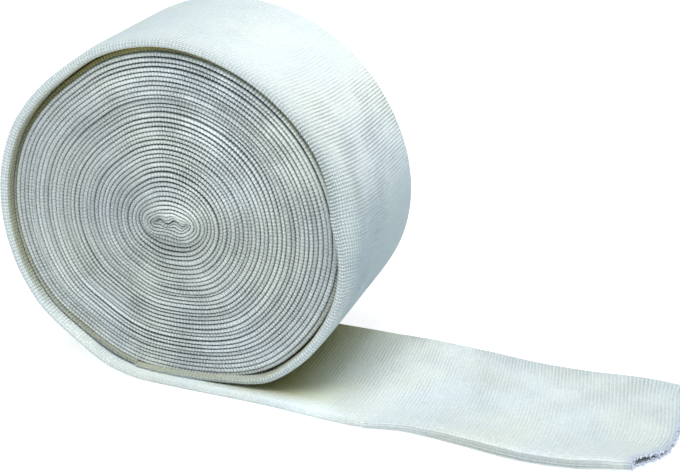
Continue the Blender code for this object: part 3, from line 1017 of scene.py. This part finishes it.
def knitted_cotton():
    """Rib knit of bleached cotton with covered elastic: matt and ribbed across, with painted grey
    shade in its dips.

    The eye gets thin light ribs 1.45 mm apart with small stitches along them, painted white
    highlights on stitches behind the near fold, painted dark shade where two turns press together,
    painted bluer shade on the last turn and painted olive shade in gaps and under the roll, over
    stretches that are a little greener or bluer by chance.
    """
    finish = bpy.context.scene.yarn_finish
    material, tree, shader = new_material("knitted_cotton_and_elastic", {
        "Roughness": 0.92, "IOR": 1.46, "Specular IOR Level": 0.25, "Sheen Weight": 0.18,
        "Sheen Roughness": 0.5,
    })
    made = {}
    for name in SURFACE:
        made[name] = add_node(
            tree, "ShaderNodeAttribute", attribute_name=name).outputs["Fac"]

    # Chance by its grains a metre. Fibres are drawn a third of a millimetre wide, so that they show
    where = add_node(tree, "ShaderNodeTexCoord").outputs["Object"]
    for name, scale, detail in (
        ("drift", 70.0, 2.0),
        ("fibres", 1500.0, 3.0),
        ("patches", 26.0, 5.0),
        ("mottle", 750.0, 2.0),
    ):
        made[name] = add_node(
            tree, "ShaderNodeTexNoise", {"Vector": where, "Scale": scale, "Detail": detail})
    made["drift"] = add_node(
        tree, "ShaderNodeMapRange",
        {"Value": made["drift"], "From Min": 0.35, "From Max": 0.65, "To Min": 0.4, "To Max": 1.45},
    )
    made["patches"] = add_node(
        tree, "ShaderNodeMapRange", {"Value": made["patches"], "From Min": 0.38, "From Max": 0.62})

    work_out(tree, "ShaderNodeMath", made, (
        # How plainly the ribs show drifts from one stretch to the next
        ("ribs_here", "MULTIPLY", "ribbing", "drift"),
        ("rib_turn", "MULTIPLY", "rib", FULL_TURN),
        ("rib_wave", "COSINE", "rib_turn"),
        ("rib_wave", "MULTIPLY", "rib_wave", -0.5),
        ("rib_height", "MULTIPLY_ADD", "rib_wave", "ribs_here", 0.5),
        # Stitches along the ribs show most at the near edge, and not where cloth is pressed
        ("stitch_turn", "MULTIPLY", "stitch", FULL_TURN),
        ("stitch_wave", "COSINE", "stitch_turn"),
        ("stitch_height", "MULTIPLY_ADD", "stitch_wave", 0.5, 0.5),
        ("stitch_share", "MULTIPLY_ADD", "near_part", 0.3, 0.14),
        ("slack", "SUBTRACT", 1.0, "pressed"),
        ("stitch_share", "MULTIPLY", "stitch_share", "slack"),
        ("rib_share", "SUBTRACT", 1.0, "stitch_share"),
        ("height", "MULTIPLY", "rib_height", "rib_share"),
        ("height", "MULTIPLY_ADD", "stitch_height", "stitch_share", "height"),
        ("height", "MULTIPLY_ADD", "fibres", 0.22, "height"),
        # Painted shade: the last turn and the loose end are painted bluer and greyer, hardly on the
        # near fold
        ("painted_blue_share", "MULTIPLY_ADD", "fold_part", -0.45, 0.6),
        ("painted_blue_share", "MULTIPLY", "cast", "painted_blue_share"),
        # Painted highlight: single stitches on the rib crests are painted white in the first few
        # millimetres behind the near fold, with painted shade between them
        ("row", "MULTIPLY", "fold_part", "wound"),
        ("row", "MULTIPLY", "row", "ribbing"),
        ("crest", "MULTIPLY", "rib_wave", 2.0, CLAMPED),
        ("painted_stitch_highlight", "MULTIPLY", "crest", "stitch_height"),
        ("painted_stitch_highlight", "MULTIPLY", "painted_stitch_highlight", 1.5, CLAMPED),
        ("between", "SUBTRACT", 1.0, "painted_stitch_highlight"),
        ("between", "MULTIPLY", "between", "row"),
        ("between", "MULTIPLY", "between", 0.75, CLAMPED),
        ("painted_stitch_highlight", "MULTIPLY", "painted_stitch_highlight", "row", CLAMPED),
        # Painted light in a gap: one side of a turn, its outer one or its inner one, counts as lit
        # and gets less painted shade
        ("lit", "MULTIPLY_ADD", "rise", 1.4, -1.0),
        ("lit", "MULTIPLY_ADD", "lit", "side", 0.2, CLAMPED),
        # Painted crease shade between two turns is paler in a gap. A pleat's lines get painted
        # crease shade too
        ("paler", "MAXIMUM", "lit", 0.6),
        ("paler", "MULTIPLY", "paler", "groove"),
        ("crease_share", "MULTIPLY_ADD", "paler", -0.85, 0.85),
        ("painted_crease_shade", "POWER", "crease", 1.6),
        ("painted_crease_shade", "MULTIPLY", "painted_crease_shade", "tight"),
        ("painted_crease_shade", "MULTIPLY", "painted_crease_shade", "crease_share"),
        ("painted_crease_shade", "MULTIPLY_ADD", "line", 0.5, "painted_crease_shade", CLAMPED),
        # Painted olive shade in deep gaps, on the inner wall of the last turn and on the loose end
        # in the roll's shadow, for the light that the yarn has coloured there
        ("on_fold", "MULTIPLY", "fold_part", "clear"),
        ("off_fold", "SUBTRACT", 0.9, "on_fold"),
        ("shaded", "MULTIPLY_ADD", "lit", -0.95, 1.2),
        ("shaded", "MULTIPLY", "shaded", "groove"),
        ("shaded", "MULTIPLY", "shaded", "off_fold", CLAMPED),
        ("painted_wall_shade", "MULTIPLY", "under", "wound"),
        ("painted_wall_shade", "MULTIPLY", "painted_wall_shade", 0.7),
        ("shaded", "MAXIMUM", "shaded", "painted_wall_shade"),
        # Painted blue shade on the cloth for the last millimetres before the cut
        ("painted_cut_shade", "MULTIPLY", "cut", 0.4),
        # Painted lighter and darker stretches together with tone by chance, but not on a fold in a
        # gap, and a mottle of single stitches
        ("mottle", "MULTIPLY_ADD", "mottle", 0.28, 0.86),
        ("painted_light_and_tone_here", "MULTIPLY", "on_fold", "groove"),
        ("painted_light_and_tone_here", "SUBTRACT", 1.0, "painted_light_and_tone_here"),
        ("painted_light_and_tone_here", "MULTIPLY", "painted_light_and_tone_here", "tone"),
        ("lighter", "MULTIPLY_ADD", "painted_light_and_tone_here", 0.15, "mottle"),
    ))
    relief = add_node(
        tree, "ShaderNodeBump", {"Height": made["height"], "Distance": 0.6 * MM, "Strength": 1.0})
    tree.links.new(relief.outputs[0], shader.inputs["Normal"])
    # Painted shade: yarn lying lower in the knit is painted darker
    made["painted_dip_shade"] = add_node(
        tree, "ShaderNodeMapRange",
        {"Value": made["height"], "From Min": 0.1, "From Max": 0.9, "To Min": 0.36, "To Max": 0.0},
    )

    # Stretches some centimetres long are greener or bluer by chance, and over them lie the painted
    # shade and highlights
    tint = (*finish.warm, 1.0)
    for share, over in (
        ("patches", finish.cool),
        ("painted_dip_shade", finish.dip),
        ("painted_blue_share", finish.shade),
        ("between", finish.dip),
        ("painted_stitch_highlight", finish.bright),
        ("painted_crease_shade", finish.crease),
        ("shaded", finish.recess),
        ("painted_cut_shade", finish.cut_blue),
    ):
        tint = add_node(
            tree, "ShaderNodeMix", {"Factor": made[share], 6: tint, 7: (*over, 1.0)},
            data_type="RGBA",
        ).outputs[2]
    toned = add_node(
        tree, "ShaderNodeHueSaturation", {"Value": made["lighter"], "Color": tint})
    tree.links.new(toned.outputs[0], shader.inputs["Base Color"])
    return material


def speckled(tree, shader, scale, first, second):
    """Let the colour wander between two by fine chance, and give that chance back."""
    where = add_node(tree, "ShaderNodeTexCoord").outputs["Object"]
    chance = add_node(tree, "ShaderNodeTexNoise", {"Vector": where, "Scale": scale, "Detail": 2.0})
    tint = add_node(
        tree, "ShaderNodeMix", {"Factor": chance, 6: (*first, 1.0), 7: (*second, 1.0)},
        data_type="RGBA",
    )
    tree.links.new(tint.outputs[2], shader.inputs["Base Color"])
    return chance


def cut_yarn():
    """Cut ends of cotton yarn: white, fuzzy and a little blue in their shade."""
    finish = bpy.context.scene.yarn_finish
    material, tree, shader = new_material("cut_cotton_yarn", {
        "Roughness": 0.9, "Sheen Weight": 0.3, "Sheen Roughness": 0.4,
    })
    twist = speckled(tree, shader, 900.0, finish.cut_white, finish.cut_blue)
    relief = add_node(tree, "ShaderNodeBump", {"Height": twist, "Distance": 0.1 * MM})
    tree.links.new(relief.outputs[0], shader.inputs["Normal"])
    return material


def studio_paper():
    """Matt white background paper on a lit table: even, pale, no gloss, almost no shadow."""
    paper = bpy.context.scene.yarn_finish.paper
    material, tree, shader = new_material("matt_studio_paper", {
        "Roughness": 0.95, "Specular IOR Level": 0.1, "Emission Color": (1.0, 1.0, 1.0, 1.0),
        "Emission Strength": 0.68,
    })
    speckled(tree, shader, 400.0, paper, 0.98 * paper)
    return material


def material_named(name, make):
    return bpy.data.materials.get(name) or make()


def tube_values(sizes, section, roundness):
    return {
        "Section": section,
        "Edge roundness": roundness,
        "Edge relief": sizes.edge_relief,
        "Edge recess": sizes.edge_recess,
        "Lump": sizes.lump,
        "Lump scale": LUMP_SCALE,
        "Seed": float(sizes.seed),
        "Cloth": material_named("knitted_cotton_and_elastic", knitted_cotton),
    }


def shape_tube(name, stations, section, roundness, sizes):
    """Sweep one stretch of the tube, hang it on the root and hide the part that it replaces."""
    tree = bpy.data.node_groups.get("Knitted tube along a path") or knitted_tube_tree()
    piece = path_guide(name, stations)
    baked(piece, tree, tube_values(sizes, section, roundness), (*SURFACE, "rim"))
    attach(piece, "root")
    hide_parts(NODE)
    return piece


class BANDAGE_OT_lay_last_turn(bpy.types.Operator):
    """Lay the loose end along the floor and wind the last turn round the roll."""

    bl_idname = "bandage.lay_last_turn"
    bl_label = "Loose end and last turn"

    def execute(self, context):
        sizes = context.scene.knit_sizes
        pitch = sizes.rib_pitch / MM
        stations, length = loose_end_and_last_turn(pitch)
        section = section_guide(
            "wide_section",
            section_points(
                quarter_steps=7, side_steps=13, stitch_pitch=sizes.stitch_pitch / MM, leaning=True),
        )
        split = int(np.argmin(np.hypot(stations["near_x"], stations["near_z"])))
        end = {key: column[:split + 1].copy() for key, column in stations.items()}
        turn = {key: column[split:] for key, column in stations.items()}
        end = with_mouth(end, pitch)
        shape_tube("loose_end", end, section, WIDE_ROUNDNESS, sizes)
        shape_tube("last_turn", turn, section, WIDE_ROUNDNESS, sizes)
        bpy.data.objects.remove(section, do_unlink=True)
        return {"FINISHED"}


class BANDAGE_OT_wind_inner_turns(bpy.types.Operator):
    """Wind the turns inside the last one, in three lengths, down to the core."""

    bl_idname = "bandage.wind_inner_turns"
    bl_label = "Inner turns"

    def execute(self, context):
        sizes = context.scene.knit_sizes
        pitch = sizes.rib_pitch / MM
        stations, length = inner_turns(
            pitch, sizes.turn_pitch / MM, sizes.slack / MM, sizes.seed)
        section = section_guide(
            "slim_section",
            section_points(
                quarter_steps=2, side_steps=1, stitch_pitch=sizes.stitch_pitch / MM, leaning=False),
        )
        count = len(stations["course"])
        names = ("outer_turns", "middle_turns", "core_turns")
        for index, name in enumerate(names):
            start = count * index // len(names)
            end = min(count * (index + 1) // len(names) + 1, count)
            part = {key: column[start:end] for key, column in stations.items()}
            shape_tube(name, part, section, SLIM_ROUNDNESS, sizes)
        bpy.data.objects.remove(section, do_unlink=True)
        return {"FINISHED"}


class BANDAGE_OT_fray_cut_end(bpy.types.Operator):
    """Set small loops of cut yarn along the raw rim of the loose end."""

    bl_idname = "bandage.fray_cut_end"
    bl_label = "Yarn ends at the cut"

    def execute(self, context):
        sizes = context.scene.knit_sizes
        piece = linked("cut_yarn_ends", bpy.data.objects["loose_end"].data.copy())
        values = {
            "Density": YARN_DENSITY,
            "Loop radius": LOOP_RADIUS * MM,
            "Yarn radius": YARN_RADIUS * MM,
            "Seed": sizes.seed,
            "Yarn": material_named("cut_cotton_yarn", cut_yarn),
        }
        baked(piece, yarn_ends_tree(), values, ())
        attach(piece, "root")
        return {"FINISHED"}


def hang_light(name, kind, comes_from, place=(0.0, 0.0, 0.0), **settings):
    """Hang a soft light with its settings, turned so that it shines from where it comes."""
    data = bpy.data.lights.new(name, kind)
    for key, value in settings.items():
        setattr(data, key, value)
    light = linked(name, data)
    light.location = place
    light.rotation_euler = Vector(comes_from).to_track_quat("Z", "Y").to_euler()


class BANDAGE_OT_set_studio(bpy.types.Operator):
    """Lay the pale floor, hang the soft lights and stand the camera."""

    bl_idname = "bandage.set_studio"
    bl_label = "Floor, light and camera"

    def execute(self, context):
        studio = context.scene.studio_light
        mesh = bmesh.new()
        bmesh.ops.create_grid(mesh, x_segments=8, y_segments=8, size=FLOOR_REACH)
        data = bpy.data.meshes.new("studio_floor")
        mesh.to_mesh(data)
        mesh.free()
        data.materials.append(material_named("matt_studio_paper", studio_paper))
        floor = linked("studio_floor", data)

        hang_light("key", "SUN", KEY_COMES_FROM, energy=studio.key_strength, angle=KEY_WIDTH)
        hang_light("soft", "SUN", SOFT_COMES_FROM, energy=studio.soft_strength, angle=SOFT_WIDTH)
        hang_light(
            "fill", "AREA", Vector(FILL_PLACE) - Vector(FILL_TARGET), FILL_PLACE,
            shape="DISK", size=FILL_SIZE, energy=studio.fill_power, color=linear(FILL_TINT))

        world = bpy.data.worlds.new("pale_room")
        world.use_nodes = True
        sky = world.node_tree.nodes["Background"]
        sky.inputs["Color"].default_value = (*linear(ROOM_TINT), 1.0)
        sky.inputs["Strength"].default_value = studio.room_strength
        context.scene.world = world
        context.scene.view_settings.view_transform = "Standard"

        right = Vector(CAMERA_RIGHT).normalized()
        forward = Vector(CAMERA_FORWARD).normalized()
        up = right.cross(forward).normalized()
        lens = bpy.data.cameras.new("photo_view")
        lens.lens = CAMERA_LENS
        lens.sensor_width = CAMERA_SENSOR
        lens.clip_start = CAMERA_NEAR
        camera = linked("photo_view", lens)
        columns = Matrix((right, up, -forward)).transposed()
        camera.matrix_world = Matrix.Translation(Vector(CAMERA_PLACE)) @ columns.to_4x4()
        context.scene.camera = camera
        return {"FINISHED"}


class BANDAGE_PT_panel(bpy.types.Panel):
    """Lists the steps and their sizes in the sidebar."""

    bl_idname = "BANDAGE_PT_panel"
    bl_label = "Tubular bandage"
    bl_space_type = "VIEW_3D"
    bl_region_type = "UI"
    bl_category = "Bandage"

    def draw(self, context):
        layout = self.layout
        for operator in OPERATORS:
            layout.operator(operator.bl_idname)
        scene = context.scene
        for group in (scene.knit_sizes, scene.yarn_finish, scene.studio_light):
            box = layout.box()
            for name in group.__annotations__:
                box.prop(group, name)


OPERATORS = (
    BANDAGE_OT_lay_last_turn,
    BANDAGE_OT_wind_inner_turns,
    BANDAGE_OT_fray_cut_end,
    BANDAGE_OT_set_studio,
)
CLASSES = (KnitSizes, YarnFinish, StudioLight, *OPERATORS, BANDAGE_PT_panel)


def register():
    for item in CLASSES:
        bpy.utils.register_class(item)
    bpy.types.Scene.knit_sizes = PointerProperty(type=KnitSizes)
    bpy.types.Scene.yarn_finish = PointerProperty(type=YarnFinish)
    bpy.types.Scene.studio_light = PointerProperty(type=StudioLight)


def unregister():
    del bpy.types.Scene.studio_light
    del bpy.types.Scene.yarn_finish
    del bpy.types.Scene.knit_sizes
    for item in reversed(CLASSES):
        bpy.utils.unregister_class(item)


def main():
    register()
    bpy.ops.bandage.lay_last_turn()
    bpy.ops.bandage.wind_inner_turns()
    bpy.ops.bandage.fray_cut_end()
    bpy.ops.bandage.set_studio()


if __name__ == "__main__":
    main()
